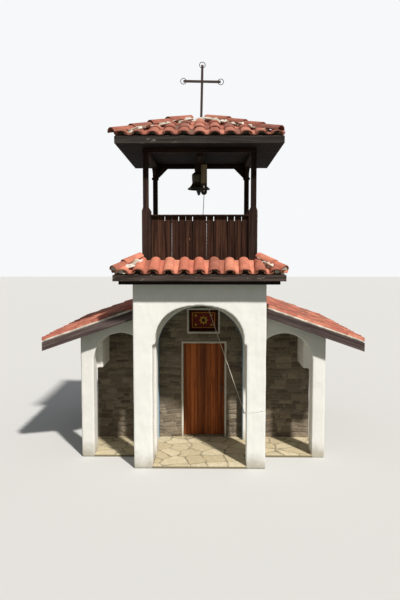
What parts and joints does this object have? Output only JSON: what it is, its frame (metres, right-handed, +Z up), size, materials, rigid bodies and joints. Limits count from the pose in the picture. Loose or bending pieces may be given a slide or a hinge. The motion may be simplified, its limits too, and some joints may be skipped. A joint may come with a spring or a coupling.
{
  "type": "small hill chapel with bell tower",
  "caption": "Small rubble-stone chapel with an arched plastered porch, a hinged door, clay-tiled roofs and an open timber belfry holding a bell under a wrought cross.",
  "frame": {"origin": "on the ground under the middle of the building's bounding box", "axes": "+Z up, +X to the right and -Y towards a person who faces the tower and the door"},
  "size_m": [6.05, 5.2158, 7.5909],
  "materials": {
    "plaster": "matte limewashed plaster, stained near the foot",
    "surround_plaster": "matte plaster band",
    "rubble_stone": "rubble stone in lime mortar",
    "flagstone": "worn irregular flagstones",
    "roof_tile": "weathered clay barrel tiles with lichen and mortar",
    "roof_timber": "weathered grey-brown boards",
    "belfry_timber": "dark brown stained boards, worn",
    "light_timber": "bare pale timber",
    "door_timber": "knotty pine boards, oiled",
    "dark_timber": "dark varnished wood",
    "painted_panel": "painted board",
    "bell_bronze": "dark weathered bronze",
    "iron": "wrought iron with rust",
    "rope": "twisted hemp"
  },
  "bodies": {
    "chapel": {"barge_boards_front": "roof_timber", "barge_boards_rear": "roof_timber", "belfry_braces": "belfry_timber", "belfry_floor": "belfry_timber", "belfry_parapet": "belfry_timber", "belfry_posts": "belfry_timber", "belfry_top_plates": "belfry_timber", "bell": "bell_bronze", "bell_beam": "belfry_timber", "bell_rope": "rope", "cross": "iron", "door_frame": "door_timber", "door_surround": "surround_plaster", "nave_floor": "flagstone", "nave_front_wall_left": "rubble_stone", "nave_front_wall_over_door": "rubble_stone", "nave_front_wall_right": "rubble_stone", "nave_side_walls": "rubble_stone", "nave_wall_rear": "rubble_stone", "niche_frame": "dark_timber", "niche_panel": "painted_panel", "niche_surround": "surround_plaster", "porch_arch_wall_left": "plaster", "porch_arch_wall_right": "plaster", "porch_corner_pillars": "plaster", "porch_end_walls": "plaster", "porch_floor": "flagstone", "porch_inner_piers": "plaster", "pulley_block": "light_timber", "rafter_tails": "roof_timber", "roof_deck_left": "roof_timber", "roof_deck_right": "roof_timber", "roof_ridge_tiles": "roof_tile", "roof_tiles_left": "roof_tile", "roof_tiles_right": "roof_tile", "rope_hook": "iron", "skirt_deck": "roof_timber", "skirt_fascia": "roof_timber", "skirt_hip_tiles": "roof_tile", "skirt_soffit": "roof_timber", "skirt_tiles": "roof_tile", "tower_arch_wall": "plaster", "tower_pillars": "plaster", "tower_rear_arch": "plaster", "tower_rear_pilasters": "plaster", "tower_rear_wall": "plaster", "tower_side_walls": "plaster", "upper_deck": "roof_timber", "upper_fascia": "roof_timber", "upper_hip_tiles": "roof_tile", "upper_soffit": "roof_timber", "upper_tiles": "roof_tile"},
    "door": {"door_leaf": "door_timber", "door_hinge_straps": "iron", "door_handles": "iron"},
    "clapper": {"clapper": "iron"}
  },
  "joints": [
    {"name": "door_hinge", "type": "hinge", "parent": "chapel", "child": "door", "pos_m": [-0.429, -0.26503, 1.08], "axis": [0, 0, 1], "range_deg": [0, 95]},
    {"name": "clapper_swing", "type": "hinge", "parent": "chapel", "child": "clapper", "pos_m": [-0.085, -1.05203, 5.405], "axis": [0, 1, 0], "range_deg": [-25, 25]}
  ]
}
